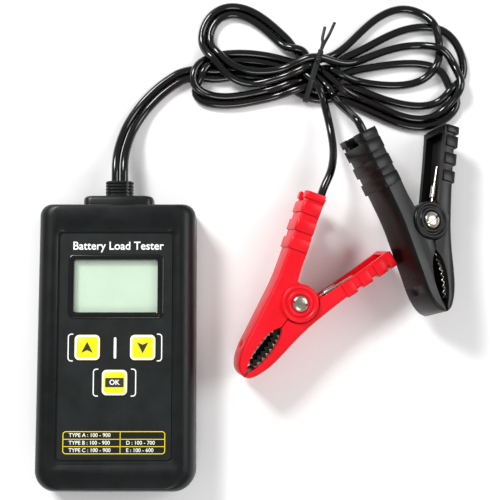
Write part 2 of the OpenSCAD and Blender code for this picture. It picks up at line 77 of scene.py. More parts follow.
def pick(piece, kind, test):
    """Selects the vertices, edges or faces whose middle and normal pass the test."""
    bpy.ops.mesh.select_mode(type=kind)
    bpy.ops.mesh.select_all(action="DESELECT")
    mesh = bmesh.from_edit_mesh(piece.data)
    mesh.normal_update()
    if kind == "FACE":
        for face in mesh.faces:
            face.select_set(test(face.calc_center_median(), face.normal))
    elif kind == "EDGE":
        for edge in mesh.edges:
            a, b = edge.verts
            edge.select_set(test((a.co + b.co) / 2, (b.co - a.co).normalized()))
    else:
        for vert in mesh.verts:
            vert.select_set(test(vert.co, vert.normal))
    mesh.select_flush_mode()
    bmesh.update_edit_mesh(piece.data)


def apply_modifier(piece, kind, **settings):
    modifier = piece.modifiers.new(kind.title(), kind)
    for name, value in settings.items():
        setattr(modifier, name, value)
    activate(piece)
    bpy.ops.object.modifier_apply(modifier=modifier.name)


def combine(piece, tool, how="DIFFERENCE"):
    apply_modifier(piece, "BOOLEAN", operation=how, object=tool, solver="EXACT")
    bpy.data.objects.remove(tool)


def soften(piece, width, segments=2, angle=34):
    """Rounds the sharp edges by a small radius, as a mould leaves them."""
    apply_modifier(piece, "BEVEL", width=width, segments=segments, limit_method="ANGLE",
        angle_limit=math.radians(angle), miter_outer="MITER_ARC")


def join(pieces):
    activate(pieces[0])
    for piece in pieces:
        piece.select_set(True)
    bpy.ops.object.join()
    return pieces[0]


def keep(piece, material, body="root", stands_for=(), place=STILL, angle=38):
    """Finishes a piece: millimetres to metres, its place in its mesh, its finish and its body."""
    activate(piece)
    piece.matrix_world = Matrix.Scale(MM, 4) @ place @ piece.matrix_world
    bpy.ops.object.transform_apply(location=True, rotation=True, scale=True)
    bpy.ops.object.shade_smooth_by_angle(angle=math.radians(angle))
    piece.data.materials.clear()
    piece.data.materials.append(material)
    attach(piece, body)
    if stands_for:
        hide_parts(*stands_for)
    return piece


def smooth(points, steps):
    """A smooth line through a list of points."""
    p = [Vector(point) for point in points]
    line = []
    for i in range(len(p) - 1):
        a, b, c, d = p[max(i - 1, 0)], p[i], p[i + 1], p[min(i + 2, len(p) - 1)]
        for k in range(steps):
            t = k / steps
            line.append(0.5 * (2 * b + (c - a) * t + (2 * a - 5 * b + 4 * c - d) * t ** 2
                + (3 * b - a - 3 * c + d) * t ** 3))
    return line + [p[-1]]


def prism(name, outline, low, high):
    """A flat outline drawn at the height low and extruded to high."""
    mesh = bpy.data.meshes.new(name)
    mesh.from_pydata([(p[0], p[1], low) for p in outline], [], [range(len(outline))])
    piece = bpy.data.objects.new(name, mesh)
    bpy.context.scene.collection.objects.link(piece)
    with editing(piece):
        bpy.ops.mesh.select_all(action="SELECT")
        bpy.ops.mesh.extrude_region_move(TRANSFORM_OT_translate={"value": (0, 0, high - low)})
        bpy.ops.mesh.select_all(action="SELECT")
        bpy.ops.mesh.normals_make_consistent(inside=False)
    return piece


def box_outline(w, l, r, at=(0, 0), taper=0, top_r=None, segments=8):
    """A rounded rectangle's outline, narrower by taper at its upper end."""
    half_w, half_l = w / 2, l / 2
    top_r = r if top_r is None else top_r
    corners = [(-1, -1, r, 180), (1, -1, r, 270), (1, 1, top_r, 0), (-1, 1, top_r, 90)]
    outline = []
    for sx, sy, radius, start in corners:
        x = sx * (half_w - radius - (taper / 2 if sy > 0 else 0))
        y = sy * (half_l - radius)
        for k in range(segments + 1):
            angle = math.radians(start + 90 * k / segments)
            outline.append((at[0] + x + radius * math.cos(angle), at[1] + y + radius * math.sin(angle)))
    return outline


def raised_block(name, outline, steps):
    """Extrudes an outline upwards in steps of (height, half width, half length)."""
    mesh = bpy.data.meshes.new(name)
    xs, ys = [p[0] for p in outline], [p[1] for p in outline]
    middle = ((max(xs) + min(xs)) / 2, (max(ys) + min(ys)) / 2)
    width, length = (max(xs) - min(xs)) / 2, (max(ys) - min(ys)) / 2
    first = steps[0]
    mesh.from_pydata([(middle[0] + (x - middle[0]) * first[1] / width,
        middle[1] + (y - middle[1]) * first[2] / length, first[0]) for x, y in outline],
        [], [range(len(outline))])
    piece = bpy.data.objects.new(name, mesh)
    bpy.context.scene.collection.objects.link(piece)
    with editing(piece):
        bpy.ops.mesh.select_all(action="SELECT")
        for last, step in zip(steps, steps[1:]):
            bpy.ops.mesh.extrude_region_move(
                TRANSFORM_OT_translate={"value": (0, 0, step[0] - last[0])})
            bpy.ops.transform.resize(value=(step[1] / last[1], step[2] / last[2], 1),
                center_override=(middle[0], middle[1], step[0]))
        bpy.ops.mesh.select_all(action="SELECT")
        bpy.ops.mesh.normals_make_consistent(inside=False)
    return piece


def lathe(name, profile, steps=48):
    """Spins a profile of (radius, height) round the Z axis and closes it."""
    mesh = bpy.data.meshes.new(name)
    mesh.from_pydata([(r, 0, z) for r, z in profile], [(i, i + 1) for i in range(len(profile) - 1)], [])
    piece = bpy.data.objects.new(name, mesh)
    bpy.context.scene.collection.objects.link(piece)
    with editing(piece):
        bpy.ops.mesh.select_all(action="SELECT")
        bpy.ops.mesh.spin(steps=steps, angle=math.tau, center=(0, 0, 0), axis=(0, 0, 1))
        bpy.ops.mesh.select_all(action="SELECT")
        bpy.ops.mesh.remove_doubles(threshold=0.001)
        bpy.ops.mesh.normals_make_consistent(inside=False)
    return piece


def drill(radius, low, high, at=(0, 0), sides=40):
    bpy.ops.mesh.primitive_cylinder_add(vertices=sides, radius=radius, depth=high - low,
        location=(at[0], at[1], (low + high) / 2))
    tool = bpy.context.object
    bpy.ops.object.transform_apply(location=True, rotation=False, scale=False)
    return tool


def block(name, low, high):
    """A box between two corners."""
    size = [b - a for a, b in zip(low, high)]
    bpy.ops.mesh.primitive_cube_add(size=1, location=[(a + b) / 2 for a, b in zip(low, high)], scale=size)
    piece = bpy.context.object
    piece.name = name
    bpy.ops.object.transform_apply(location=True, rotation=False, scale=True)
    return piece


# ---------------------------------------------------------------- materials

def linear(hex_colour):
    """An sRGB hex colour as linear red, green, blue and alpha."""
    channels = [int(hex_colour[i:i + 2], 16) / 255 for i in (1, 3, 5)]
    return [c / 12.92 if c <= 0.04045 else ((c + 0.055) / 1.055) ** 2.4 for c in channels] + [1]


def add(tree, kind, links=None, **settings):
    """Adds a node, with its settings and the links or values of its inputs."""
    new = tree.nodes.new("ShaderNode" + kind)
    for name, value in settings.items():
        setattr(new, name, value)
    for name, value in (links or {}).items():
        if isinstance(value, bpy.types.NodeSocket):
            tree.links.new(value, new.inputs[name])
        else:
            new.inputs[name].default_value = value
    return new


def finish(name, colours, roughness, grain_mm, grain_depth_mm, patch_mm=9, **sockets):
    """A surface that varies slowly between two colours and two roughnesses, under a fine grain."""
    made = bpy.data.materials.new(name)
    made.use_nodes = True
    tree = made.node_tree
    tree.nodes.clear()
    place = add(tree, "TexCoord").outputs["Object"]
    patches = add(tree, "TexNoise", {"Vector": place, "Scale": 1 / (patch_mm * MM), "Detail": 3})
    colour = add(tree, "ValToRGB", {"Fac": patches.outputs["Fac"]})
    for stop, position, value in zip(colour.color_ramp.elements, (0.35, 0.65), colours):
        stop.position, stop.color = position, linear(value)
    shine = add(tree, "MapRange", {"Value": patches.outputs["Fac"], "From Min": 0.3, "From Max": 0.7,
        "To Min": roughness[0], "To Max": roughness[1]})
    grain = add(tree, "TexNoise", {"Vector": place, "Scale": 1 / (grain_mm * MM), "Detail": 2})
    bump = add(tree, "Bump", {"Height": grain.outputs["Fac"], "Distance": grain_depth_mm * MM,
        "Strength": 1})
    shader = add(tree, "BsdfPrincipled", {"Base Color": colour.outputs["Color"],
        "Roughness": shine.outputs["Result"], "Normal": bump.outputs["Normal"]})
    for socket, value in sockets.items():
        shader.inputs[socket.replace("_", " ")].default_value = value
    output = add(tree, "OutputMaterial", {"Surface": shader.outputs["BSDF"]})
    made.diffuse_color = linear(colours[0])
    return made


def moulded_abs():
    # Spark-eroded ABS: near black with a dull sheen; the grain is drawn coarser than its real 0.1 mm
    return finish("moulded_abs", ("#060809", "#0A0D0E"), (0.34, 0.42), 0.45, 0.02, IOR=1.54,
        Specular_IOR_Level=0.26)


def polycarbonate_film():
    # Velvet-finish film, printed dark grey on its back: flatter and lighter than the case
    return finish("polycarbonate_film", ("#0E1212", "#131818"), (0.42, 0.5), 0.35, 0.015, IOR=1.58,
        Specular_IOR_Level=0.26)


def glossy_acrylic():
    # Polished bezel round the display
    return finish("glossy_acrylic", ("#050606", "#08090A"), (0.14, 0.2), 2, 0.003, IOR=1.49)


def clear_acrylic():
    # Cast acrylic window: nearly all see-through, with a clean reflection
    made = finish("clear_acrylic", ("#E6F0E4", "#EAF3E8"), (0.04, 0.07), 4, 0.001, IOR=1.49)
    made.node_tree.nodes["Principled BSDF"].inputs["Alpha"].default_value = 0.1
    made.blend_method = "BLEND"
    return made


def liquid_crystal_glass():
    # Twisted-nematic glass with its rear reflector: pale green, faintly uneven
    return finish("liquid_crystal_glass", ("#C9DFC8", "#C2D9C2"), (0.25, 0.34), 0.6, 0.002, patch_mm=14)


def silicone_rubber(name, colours):
    # Compression-moulded silicone: soft satin
    return finish(name, colours, (0.4, 0.48), 0.5, 0.012, IOR=1.41)


def flexible_pvc():
    # Extruded plasticised PVC: glossy, with long faint waves left by the die
    return finish("flexible_pvc", ("#020303", "#040505"), (0.12, 0.17), 2.4, 0.008, IOR=1.53)


def moulded_pvc():
    # Strain relief moulded over the leads: duller than the leads
    return finish("moulded_pvc", ("#050607", "#090B0C"), (0.3, 0.38), 0.4, 0.015, IOR=1.53,
        Specular_IOR_Level=0.35)


def injection_polypropylene(name, colours, roughness):
    # Clamp handles: moulded polypropylene, satin with a very fine grain
    return finish(name, colours, roughness, 0.4, 0.015, IOR=1.49, Specular_IOR_Level=0.3)


def nickel_plate():
    # Nickel on stamped steel: warm grey metal with fine dull patches
    return finish("nickel_plate", ("#C9C2B4", "#B9B1A2"), (0.2, 0.3), 0.5, 0.002, patch_mm=4, Metallic=1)


def mouth_shade_steel():
    # Steel strip behind the teeth, coloured near black as painted shade for the shadow inside the clamp's
    # mouth
    return finish("mouth_shade_steel", ("#1A1A1B", "#232324"), (0.35, 0.45), 0.4, 0.004, patch_mm=3,
        Metallic=0.6)


def zinc_plated_steel():
    # Bright zinc screws
    return finish("zinc_plated_steel", ("#B9BABA", "#A3A5A6"), (0.26, 0.38), 0.3, 0.006, patch_mm=1.5,
        Metallic=1)


def tinned_copper():
    return finish("tinned_copper", ("#B8733A", "#C98A55"), (0.28, 0.38), 0.2, 0.01, patch_mm=1,
        Metallic=1)


def solder_mask():
    # Green solder mask over the glass weave of the board
    return finish("solder_mask", ("#1C5A38", "#236B43"), (0.28, 0.36), 0.8, 0.015, patch_mm=3)


def epoxy_resin(name, colours):
    # Transfer-moulded package resin, fine matt grain
    return finish(name, colours, (0.5, 0.6), 0.15, 0.012, patch_mm=2)


def fired_ceramic():
    # White cement resistor bodies: chalky
    return finish("fired_ceramic", ("#E4E0D4", "#D6D1C2"), (0.75, 0.85), 0.3, 0.05, patch_mm=2)


def screen_ink(name, colours):
    # Screen-printed ink: an even, slightly dull coat
    return finish(name, colours, (0.5, 0.56), 0.3, 0.004)


def plain_paper_floor():
    return finish("plain_paper_floor", ("#F4F4F4", "#F7F7F7"), (0.85, 0.9), 3, 0.01, patch_mm=200)


case_plastic = moulded_abs()
panel_film = polycarbonate_film()
lead_pvc = flexible_pvc()
boot_pvc = moulded_pvc()
nickel = nickel_plate()
# Near-black steel: painted shade for the inside of the clamps' mouths
mouth_shade_dark_steel = mouth_shade_steel()
red_plastic = injection_polypropylene("red_polypropylene", ("#DE0418", "#E6081F"), (0.34, 0.42))
black_plastic = injection_polypropylene("black_polypropylene", ("#040506", "#070909"), (0.28, 0.36))
key_rubber = silicone_rubber("yellow_silicone", ("#FFE800", "#FFEE00"))
white_ink = screen_ink("white_ink", ("#FAFAF8", "#FFFFFF"))
yellow_ink = screen_ink("yellow_ink", ("#FFE200", "#FFE800"))
dark_ink = screen_ink("dark_ink", ("#23241C", "#2A2B22"))


# ---------------------------------------------------------------- camera

def look(location, target, lens):
    data = bpy.data.cameras.new("camera")
    data.lens, data.sensor_width = lens, 36
    camera = bpy.data.objects.new("camera", data)
    camera.location = Vector(location) * MM
    camera.rotation_euler = (Vector(target) - Vector(location)).to_track_quat("-Z", "Y").to_euler()
    data.clip_end = 20
    bpy.context.scene.collection.objects.link(camera)
    bpy.context.scene.camera = camera


CAMERA, CAMERA_TARGET, LENS = (58.4, -25.4, 569.9), (58.4, 41.6, 24), 90.8
look(CAMERA, CAMERA_TARGET, LENS)


# ---------------------------------------------------------------- leads

LEAD_D = 3.65
LEAD_X = LEAD_D / 2 + 0.1
CASE_L = 125
WAIST = Vector((89.5, 124.5, 0))
NEAR_ROUTE = [
    (0, 73.7, 12), (0, 78, 12), (0, 83.4, 11), (0.8, 90.4, 8.4), (3.6, 100, 4.6), (9, 109.4, 2.4),
    (15.6, 116.8, 2), (22.6, 122.4, 2), (28.6, 125.6, 2.2)
]
RED_FAR_ROUTE = [
    (90.8, 115.8, 8.6), (92.6, 109.5, 7.2), (94.2, 103, 6.6), (95.4, 96, 8), (95.9, 89, 11.4),
    (95.4, 82.4, 15.4), (94, 76.6, 18.2), (91.4, 70.7, 19.1), (89.7, 66, 18.8), (87.8, 60.4, 18.4),
    (85.4, 53.7, 17.9), (83.1, 47.2, 17.5), (81.6, 43, 17.2)
]
BLACK_FAR_ROUTE = [
    (94.9, 116.8, 8.6), (96.8, 113, 10.2), (98.9, 109.2, 13.6), (101.2, 105.4, 18.6),
    (103.4, 101.8, 23.6), (105.8, 98.1, 27.3), (108.1, 93.8, 26.6), (110.7, 88.4, 25.9),
    (113.8, 82.2, 25), (116.9, 76, 24.1), (118.9, 72.1, 23.5)
]
# Each turn of the hank, from its waist and back: direction, length, half width below and above
RED_TURNS = [(-8.5, 65, 16.6, 13.5), (184, 58.5, 10, 10), (20.5, 60, 19, 18), (153, 57, 19, 13)]
BLACK_TURNS = [(7, 68, 20, 18.6), (180, 58, 10, 10), (0, 65, 20.6, 15.8), (150, 55, 16, 10)]
ENTRY_RUN = [(38, 127.6, 2.2), (52, 127.8, 2.2), (68, 126.4, 2.2), (80, 125, 2.2)]
STEP = 2.0
SPACING = LEAD_D + 0.12
SETTLE_ROUNDS, SLOW_ROUNDS, POLISH_ROUNDS = 150, 30, 15


def turn_points(turn, height, count=16):
    """One turn: out from the waist along its lower side and back along its upper side."""
    angle, length, below, above = turn
    out = Vector((math.cos(math.radians(angle)), math.sin(math.radians(angle)), 0))
    up = Vector((-out.y, out.x, 0)) * (1 if out.x > 0 else -1)
    points = []
    for k in range(1, count):
        u = k / count
        side = -(below if u < 0.5 else above) * math.sin(math.tau * u)
        points.append(WAIST + out * length * math.sin(math.pi * u) ** 0.9 + up * side
            + Vector((0, 0, height)))
    return points


def lead_path(side, turns, far, lift):
    """The whole line of a lead, with its turns stacked above each other before they settle."""
    near = []
    for i, point in enumerate(NEAR_ROUTE):
        ahead = Vector(NEAR_ROUTE[min(i + 1, len(NEAR_ROUTE) - 1)])
        behind = Vector(NEAR_ROUTE[max(i - 1, 0)])
        across = (ahead - behind).cross(Vector((0, 0, 1))).normalized()
        near.append(Vector(point) + across * side * LEAD_X)
    entry = [Vector(point) - Vector((0, side * LEAD_X, 0)) for point in ENTRY_RUN]
    coil = []
    for k, turn in enumerate(turns):
        coil.append(WAIST + Vector((0, (k - 1.5) * 2.5, lift + 7 * k - 3)))
        coil += turn_points(turn, lift + 7 * k)
    return near, entry + coil, [Vector(point) for point in far]


def spaced(points, step):
    """The line through the points, cut at even steps."""
    line = np.array(smooth(points, 12))
    travelled = np.concatenate([[0], np.cumsum(np.linalg.norm(np.diff(line, axis=0), axis=1))])
    stops = np.linspace(0, travelled[-1], round(travelled[-1] / step) + 1)
    return np.stack([np.interp(stops, travelled, line[:, axis]) for axis in range(3)], axis=1)


def settle(lines, held):
    """Lets the leads fall and come to rest on the bench and on each other, at a fixed length."""
    rope = np.concatenate(lines)
    count = len(lines[0])
    lead = np.repeat([0, 1], [len(line) for line in lines])
    index = np.concatenate([np.arange(len(line)) for line in lines])
    free = ~np.concatenate(held)
    start = rope.copy()
    links = np.array([i for i in range(len(rope) - 1) if lead[i] == lead[i + 1]])
    apart = (lead[:, None] != lead[None, :]) | (np.abs(index[:, None] - index[None, :]) > 4)
    apart = np.triu(apart, 1)
    inner = np.array([i for i in range(2, len(rope) - 2) if lead[i - 2] == lead[i + 2]])
    for turn in range(SETTLE_ROUNDS):
        rope[free, 2] -= 0.3 if turn < SETTLE_ROUNDS - SLOW_ROUNDS else 0.05
        rope[free, :2] += 0.02 * (start[free, :2] - rope[free, :2])
        for sweep in range(3):
            for part in (links[::2], links[1::2]):
                gap = rope[part + 1] - rope[part]
                far = np.linalg.norm(gap, axis=1, keepdims=True)
                move = gap / far * (far - STEP) * 0.5
                rope[part] += move * free[part, None]
                rope[part + 1] -= move * free[part + 1, None]
            bend = (rope[inner - 2] + rope[inner + 2] - rope[inner - 1] - rope[inner + 1]) / 2
            flat = (rope[inner - 1] + rope[inner + 1]) / 2
            rope[inner] += 0.35 * (flat - rope[inner]) * free[inner, None] - 0.1 * bend * free[inner, None]
            offset = rope[:, None, :] - rope[None, :, :]
            distance = np.sqrt((offset ** 2).sum(axis=2)) + 1e-9
            a, b = np.nonzero(apart & (distance < SPACING))
            push = offset[a, b] / distance[a, b, None] * (SPACING - distance[a, b])[:, None] * 0.45
            np.add.at(rope, a, push * free[a, None])
            np.add.at(rope, b, -push * free[b, None])
            rope[:, 2] = np.where(free, np.maximum(rope[:, 2], LEAD_D / 2), rope[:, 2])
    for turn in range(POLISH_ROUNDS):
        bend = (rope[inner - 2] + rope[inner + 2] - rope[inner - 1] - rope[inner + 1]) / 2
        flat = (rope[inner - 1] + rope[inner + 1]) / 2
        rope[inner] += (0.35 * (flat - rope[inner]) - 0.1 * bend) * free[inner, None]
    return rope[:count], rope[count:]


def lead_lines():
    lines, held = [], []
    for side, turns, far, lift in ((1, RED_TURNS, RED_FAR_ROUTE, 5), (-1, BLACK_TURNS, BLACK_FAR_ROUTE, 8.5)):
        near, coil, end = lead_path(side, turns, far, lift)
        line = spaced(near + coil + end, STEP)
        fixed = np.zeros(len(line), bool)
        fixed[:np.argmin(np.linalg.norm(line - np.array(near[-1]), axis=1))] = True
        fixed[np.argmin(np.linalg.norm(line - np.array(end[0]), axis=1)):] = True
        lines.append(line)
        held.append(fixed)
    return settle(lines, held)


def lead_curve(name, line):
    data = bpy.data.curves.new(name, "CURVE")
    data.dimensions = "3D"
    spline = data.splines.new("POLY")
    spline.points.add(len(line) - 1)
    for point, place in zip(spline.points, line):
        point.co = (*(place * MM), 1)
    data.bevel_depth = LEAD_D / 2 * MM
    data.bevel_resolution = 4
    data.use_fill_caps = True
    data.materials.append(lead_pvc)
    lead = bpy.data.objects.new(name, data)
    bpy.context.scene.collection.objects.link(lead)
    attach(lead, "root")
    return lead


red_line, black_line = lead_lines()
red_lead = lead_curve("red_lead", red_line)
black_lead = lead_curve("black_lead", black_line)
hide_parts("red_lead_near", "red_lead_far", "lead_hank")
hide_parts("black_lead_near", "black_lead_far")


def cable_end(name, points, radius, resolution=3):
    """A round wire through the points, as a mesh."""
    data = bpy.data.curves.new(name, "CURVE")
    data.dimensions = "3D"
    spline = data.splines.new("POLY")
    spline.points.add(len(points) - 1)
    for point, place in zip(spline.points, points):
        point.co = (*place, 1)
    data.bevel_depth = radius
    data.bevel_resolution = resolution
    data.use_fill_caps = True
    wire = bpy.data.objects.new(name, data)
    bpy.context.scene.collection.objects.link(wire)
    activate(wire)
    bpy.ops.object.convert(target="MESH")
    return wire


# ---------------------------------------------------------------- twist tie round the hank's waist

TIE_MIDDLE = Vector((87.5, 124.5, 0))
TIE_TURN = math.radians(-18)
TIE_W = 2.4


def strands_at_tie():
    """Where the leads pass through the plane of the tie, as (across, height)."""
    through = Vector((math.cos(TIE_TURN), math.sin(TIE_TURN), 0))
    across = Vector((-through.y, through.x, 0))
    strands = []
    for line in (red_line, black_line):
        points = [Vector(point) - TIE_MIDDLE for point in line]
        for a, b in zip(points, points[1:]):
            da, db = a.dot(through), b.dot(through)
            if da * db <= 0 and abs(a.dot(across)) < 14:
                point = a.lerp(b, da / (da - db)) if da != db else a
                strands.append((point.dot(across), point.z))
    return strands


def round_strands(strands, clearance, count=56):
    """The line that lies round all the strands, clearance beyond their middles."""
    outline = []
    for k in range(count):
        angle = math.tau * k / count
        u, v = math.cos(angle), math.sin(angle)
        x, y = max(strands, key=lambda s: s[0] * u + s[1] * v)
        outline.append((x + clearance * u, max(y + clearance * v, 0.05)))
    return outline


def twist_tie():
    strands = strands_at_tie()
    band = prism("hank_tie", round_strands(strands, LEAD_D / 2 + 0.75), -TIE_W / 2, TIE_W / 2)
    combine(band, prism("hole", round_strands(strands, LEAD_D / 2 + 0.12), -TIE_W, TIE_W))
    soften(band, 0.2)
    top = max(y for x, y in strands) + LEAD_D / 2 + 0.8
    knot_at = 7.5
    knot = []
    for phase in (0, math.pi):
        points = [(knot_at - 3 + k * 0.2, top + 0.4 + 0.75 * math.cos(phase + k * 0.55),
            0.75 * math.sin(phase + k * 0.55)) for k in range(30)]
        knot.append(cable_end("knot", points, 0.6))
    for reach, rise, swing in ((24, 2.6, 2), (21, 1.2, -1.6)):
        points = smooth([(knot_at + 2.4, top + 0.4, 0), (knot_at + 6, top + 1, swing * 0.2),
            (reach * 0.75, top + rise, swing * 0.7), (reach, top + rise * 0.7, swing)], 5)
        knot.append(cable_end("tail", [tuple(p) for p in points], 0.75))
    tie = join([band] + knot)
    across = Vector((-math.sin(TIE_TURN), math.cos(TIE_TURN), 0))
    through = Vector((math.cos(TIE_TURN), math.sin(TIE_TURN), 0))
    place = Matrix((across, Vector((0, 0, 1)), through)).transposed().to_4x4()
    place.translation = TIE_MIDDLE
    return keep(tie, finish("tie_vinyl", ("#0B0D0D", "#121415"), (0.4, 0.5), 0.4, 0.02),
        stands_for=["twist_tie"], place=place)


tie = twist_tie()


# ---------------------------------------------------------------- case

CASE_W, CASE_TAPER = 69, 0.5
PARTING = 12
WALL = 2.2
CAVITY_TOP = 20.8
PANEL_Z = 22.6
PANEL_TOP = 23.1
PANEL_W, PANEL_L = 49, 98
GLASS_W, GLASS_L, GLASS_Y = 36.3, 22.7, 25.8
KEY_SIDE, KEY_GAP = 10.9, 0.25
KEY_TOP = 23.8
KEYS = {"up_key": (-12, -0.8), "down_key": (12, -0.8), "enter_key": (0, -15.9)}
SCREWS = [(sx * 28.1, sy * 54.3) for sx in (-1, 1) for sy in (-1, 1)]
CASE_OUTLINE = box_outline(CASE_W, CASE_L, 9, taper=CASE_TAPER, top_r=5, segments=10)


def shoulder(rise, across, along, low, half_w, half_l, count=7):
    """Steps up a rounded shoulder that is wider across than along."""
    steps = []
    for k in range(1, count + 1):
        angle = math.pi / 2 * k / count
        steps.append((low + rise * math.sin(angle), half_w - across * (1 - math.cos(angle)),
            half_l - along * (1 - math.cos(angle))))
    return steps


def key_hole(at):
    return prism("hole", box_outline(KEY_SIDE + 2 * KEY_GAP, KEY_SIDE + 2 * KEY_GAP, 2, at), 19, 25)


def neck_slot(start):
    """The slot in the case's end wall for the neck of the boot, from start outwards."""
    slot = prism("neck", box_outline(20.6, 8.6, 3), start, 66)
    slot.matrix_world = Matrix(((1, 0, 0, 0), (0, 0, 1, 0), (0, -1, 0, PARTING), (0, 0, 0, 1)))
    return slot


def front_shell():
    half_w, half_l = CASE_W / 2, CASE_L / 2
    shell = raised_block("front_cover", CASE_OUTLINE,
        [(PARTING, half_w, half_l), (17.5, half_w, half_l)]
        + shoulder(6.5, 6.5, 1.7, 17.5, half_w, half_l))
    combine(shell, raised_block("cavity", CASE_OUTLINE,
        [(PARTING - 1, half_w - WALL, half_l - WALL), (16.5, half_w - WALL, half_l - WALL)]
        + shoulder(CAVITY_TOP - 16.5, 4.3, 1.2, 16.5, half_w - WALL, half_l - WALL, 4)))
    slope = box_outline(57.8, 104, 3.4, (0, -0.6), taper=2.8, segments=6)
    combine(shell, raised_block("slope", slope, [(23.2, 26.3, 50.6), (24.1, 29.1, 52.2)]))
    combine(shell, prism("pocket", box_outline(PANEL_W + 1.8, PANEL_L + 1.8, 2.4), PANEL_Z, 25))
    combine(shell, prism("window", box_outline(GLASS_W + 1, GLASS_L + 1, 0.8, (0, GLASS_Y)), 19, 24))
    for at in KEYS.values():
        combine(shell, key_hole(at))
    combine(shell, neck_slot(58))
    for at in SCREWS:
        post = drill(3.3, 13.7, 21.2, at)
        combine(shell, post, "UNION")
        combine(shell, drill(1.45, 12, 19.3, at))
    soften(shell, 0.22, 2, 30)
    return keep(shell, case_plastic, stands_for=["front_shell"])


def rear_shell():
    half_w, half_l = CASE_W / 2, CASE_L / 2
    edge = [(2.5 * (1 - math.cos(a)), half_w - 2.5 * (1 - math.sin(a)), half_l - 1.6 * (1 - math.sin(a)))
        for a in (math.pi / 2 * k / 5 for k in range(6))]
    lip = WALL + 0.15
    shell = raised_block("rear_cover", CASE_OUTLINE, edge + [(PARTING, half_w, half_l),
        (PARTING, half_w - lip, half_l - lip), (PARTING + 1.4, half_w - lip, half_l - lip)])
    combine(shell, raised_block("cavity", CASE_OUTLINE,
        [(WALL, half_w - 4.4, half_l - 4.4), (4.2, half_w - WALL - 0.2, half_l - WALL - 0.2),
            (10, half_w - WALL - 0.2, half_l - WALL - 0.2), (10, half_w - lip - 1.1, half_l - lip - 1.1),
            (15, half_w - lip - 1.1, half_l - lip - 1.1)]))
    combine(shell, neck_slot(54))
    for at in SCREWS:
        combine(shell, drill(4.3, 1.7, PARTING, at), "UNION")
        combine(shell, drill(1.6, -1, 15, at))
        combine(shell, drill(3.1, -1, 2.6, at))
    soften(shell, 0.22, 2, 30)
    return keep(shell, case_plastic, stands_for=["rear_shell"])


def front_overlay():
    film = prism("front_overlay_film", box_outline(PANEL_W, PANEL_L, 1.8), PANEL_Z, PANEL_TOP)
    combine(film, prism("window", box_outline(GLASS_W, GLASS_L, 0.5, (0, GLASS_Y)), 22, 24))
    for at in KEYS.values():
        combine(film, key_hole(at))
    soften(film, 0.1, 1)
    return keep(film, panel_film, stands_for=["front_overlay"])


def display_frame():
    rim = 2.6
    outer_w, outer_l = GLASS_W / 2 + rim, GLASS_L / 2 + rim
    bezel = raised_block("display_bezel", box_outline(2 * outer_w, 2 * outer_l, 2.4, (0, GLASS_Y)),
        [(PANEL_TOP, outer_w, outer_l), (PANEL_TOP + 0.4, outer_w, outer_l),
            (PANEL_TOP + 0.6, outer_w - 0.3, outer_l - 0.3)])
    combine(bezel, raised_block("well", box_outline(GLASS_W, GLASS_L, 0.8, (0, GLASS_Y)),
        [(22, GLASS_W / 2, GLASS_L / 2), (23.15, GLASS_W / 2, GLASS_L / 2),
            (23.4, GLASS_W / 2 + 0.7, GLASS_L / 2 + 0.7)]))
    step = box_outline(2 * outer_w - 2.2, 2 * outer_l - 2.2, 1.7, (0, GLASS_Y))
    combine(bezel, prism("step", step, 23.35, 24))
    soften(bezel, 0.08, 2)
    return keep(bezel, glossy_acrylic(), stands_for=["lcd_frame"])


# ---------------------------------------------------------------- printing on the panel and keys

INK = 0.05


def lettering(text, size, at, height, width=None, weight=0.02, side="CENTER"):
    """Plain letters as a thin raised print, centred on a point or starting from it."""
    bpy.ops.object.select_all(action="DESELECT")
    bpy.ops.object.text_add(location=(0, 0, 0))
    letters = bpy.context.object
    letters.data.body = text
    letters.data.size = size
    letters.data.align_x, letters.data.align_y = side, "CENTER"
    letters.data.extrude = INK / 2
    letters.data.offset = weight * size
    letters.data.resolution_u = 4
    bpy.ops.object.convert(target="MESH")
    stretch = width / letters.dimensions.x if width else 1
    letters.scale = (stretch, 1, 1)
    letters.location = (at[0], at[1], height + INK / 2)
    bpy.ops.object.transform_apply(location=True, rotation=False, scale=True)
    return letters


def bar(x0, x1, y0, y1, height=PANEL_TOP):
    return prism("bar", [(x0, y0), (x1, y0), (x1, y1), (x0, y1)], height, height + INK)


def arc(x, y, r, start, end, count=6):
    """Points along part of a circle, between two angles in degrees."""
    angles = [math.radians(start + (end - start) * k / count) for k in range(count + 1)]
    return [(x + r * math.cos(angle), y + r * math.sin(angle)) for angle in angles]


def bracket(x, y, way, tall=12, deep=2.3, r=1.5, line=0.45):
    """A bracket with its back at x, centred on y, that opens towards way."""
    half = tall / 2
    outer, inner = [[(deep, -half + r - radius)] + arc(r, -half + r, radius, 270, 180)
        + arc(r, half - r, radius, 180, 90) + [(deep, half - r + radius)] for radius in (r, r - line)]
    return prism("bracket", [(x + way * u, y + v) for u, v in outer + inner[::-1]],
        PANEL_TOP, PANEL_TOP + INK)


def ring(w, l, r, line, at, height=PANEL_TOP):
    outer = prism("ring", box_outline(w, l, r, at), height, height + INK)
    combine(outer, prism("hole", box_outline(w - 2 * line, l - 2 * line, r - line, at), height - 1,
        height + 1))
    return outer


